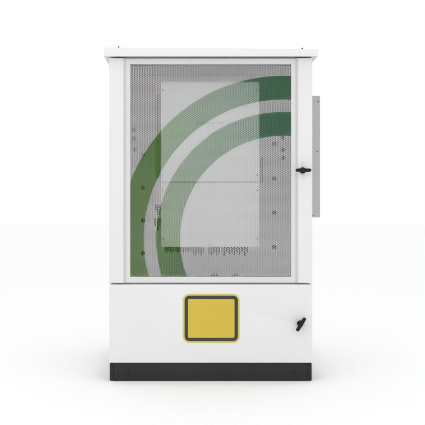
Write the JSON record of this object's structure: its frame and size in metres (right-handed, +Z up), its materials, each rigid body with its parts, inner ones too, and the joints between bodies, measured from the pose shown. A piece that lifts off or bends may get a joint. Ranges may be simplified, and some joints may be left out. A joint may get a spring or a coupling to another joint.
{
  "type": "outdoor battery cabinet",
  "caption": "Tall outdoor battery cabinet with a perforated upper door, solid lower door, turning handles, overhanging roof, lifting eyes, side exhaust hood and dark plinth.",
  "frame": {"origin": "centre of the four anchor holes, on the ground under the plinth", "axes": "+X to the right seen from the doors, +Y from the doors towards the rear panels, +Z up"},
  "size_m": [1.523, 1.433, 2.3279],
  "materials": {
    "white_paint": "fine textured powder coat",
    "roof_paint": "fine textured powder coat",
    "plinth_paint": "dark grey textured powder coat",
    "grille_paint": "printed powder coat",
    "hood_grey": "light grey powder coat",
    "unit_grey": "light grey powder coat",
    "zinc": "bright zinc plate",
    "galvanised": "galvanised sheet",
    "handle_black": "moulded black",
    "fitting_black": "moulded black",
    "seal_rubber": "foam seal",
    "breaker_plastic": "moulded dark grey",
    "fan_black": "moulded black",
    "strip_grey": "smoked indicator window",
    "pack_case": "dark grey pack case"
  },
  "bodies": {
    "cabinet": {"plinth_front_rail": "plinth_paint", "plinth_rear_rail": "plinth_paint", "plinth_left_rail": "plinth_paint", "plinth_right_rail": "plinth_paint", "plinth_bolts": "zinc", "post_front_left": "white_paint", "post_front_right": "white_paint", "post_rear_left": "white_paint", "post_rear_right": "white_paint", "left_side_panel": "white_paint", "right_side_panel": "white_paint", "floor_panel": "white_paint", "ceiling_panel": "white_paint", "deck_panel": "white_paint", "bulkhead": "white_paint", "roof_canopy": "roof_paint", "lifting_eyes": "zinc", "door_seals": "seal_rubber", "hinge_brackets": "zinc", "latch_keepers": "zinc", "rear_panels": "white_paint", "rear_panel_bolts": "zinc", "exhaust_hood": "hood_grey", "hood_screws": "zinc", "fan_housing_1": "fan_black", "fan_housing_2": "fan_black", "fan_housing_3": "fan_black", "unit_rails": "galvanised", "unit_body": "unit_grey", "unit_wiring_cover": "unit_grey", "unit_upper_cover": "unit_grey", "unit_screws": "zinc", "unit_indicator": "strip_grey", "unit_glands": "fitting_black", "deck_glands": "fitting_black", "bulkhead_bolts": "zinc", "equipment_plate": "galvanised", "breaker_body": "breaker_plastic", "control_box": "unit_grey", "battery_rack": "galvanised", "battery_stack_left": "pack_case", "battery_stack_right": "pack_case"},
    "upper_door": {"upper_door_left_stile": "white_paint", "upper_door_right_stile": "white_paint", "upper_door_top_rail": "white_paint", "upper_door_bottom_rail": "white_paint", "door_grille": "grille_paint", "upper_handle_base": "handle_black"},
    "lower_door": {"lower_door_skin": "white_paint", "lower_door_liner": "white_paint", "lower_handle_base": "handle_black"},
    "upper_latch": {"upper_handle": "handle_black", "upper_cam": "zinc"},
    "lower_latch": {"lower_handle": "handle_black", "lower_cam": "zinc"},
    "toggle": {"breaker_toggle": "handle_black"},
    "rotor_1": {"fan_rotor_1": "fan_black"},
    "rotor_2": {"fan_rotor_2": "fan_black"},
    "rotor_3": {"fan_rotor_3": "fan_black"}
  },
  "joints": [
    {"name": "upper_door_hinge", "type": "hinge", "parent": "cabinet", "child": "upper_door", "pos_m": [-0.69, -0.645, 1.4525], "axis": [0, 0, -1], "range_deg": [0, 110]},
    {"name": "lower_door_hinge", "type": "hinge", "parent": "cabinet", "child": "lower_door", "pos_m": [-0.69, -0.645, 0.397], "axis": [0, 0, -1], "range_deg": [0, 110]},
    {"name": "upper_handle_turn", "type": "hinge", "parent": "upper_door", "child": "upper_latch", "pos_m": [0.633, -0.675, 1.4525], "axis": [0, -1, 0], "range_deg": [0, 90]},
    {"name": "lower_handle_turn", "type": "hinge", "parent": "lower_door", "child": "lower_latch", "pos_m": [0.616, -0.675, 0.397], "axis": [0, -1, 0], "range_deg": [-58, 32]},
    {"name": "breaker_throw", "type": "hinge", "parent": "cabinet", "child": "toggle", "pos_m": [-0.3, -0.254, 0.403], "axis": [1, 0, 0], "range_deg": [0, 50]},
    {"name": "fan_1_spin", "type": "hinge", "parent": "cabinet", "child": "rotor_1", "pos_m": [0.69, -0.31, 1.291], "axis": [1, 0, 0], "continuous": true},
    {"name": "fan_2_spin", "type": "hinge", "parent": "cabinet", "child": "rotor_2", "pos_m": [0.69, -0.31, 1.566], "axis": [1, 0, 0], "continuous": true},
    {"name": "fan_3_spin", "type": "hinge", "parent": "cabinet", "child": "rotor_3", "pos_m": [0.69, -0.31, 1.841], "axis": [1, 0, 0], "continuous": true}
  ]
}
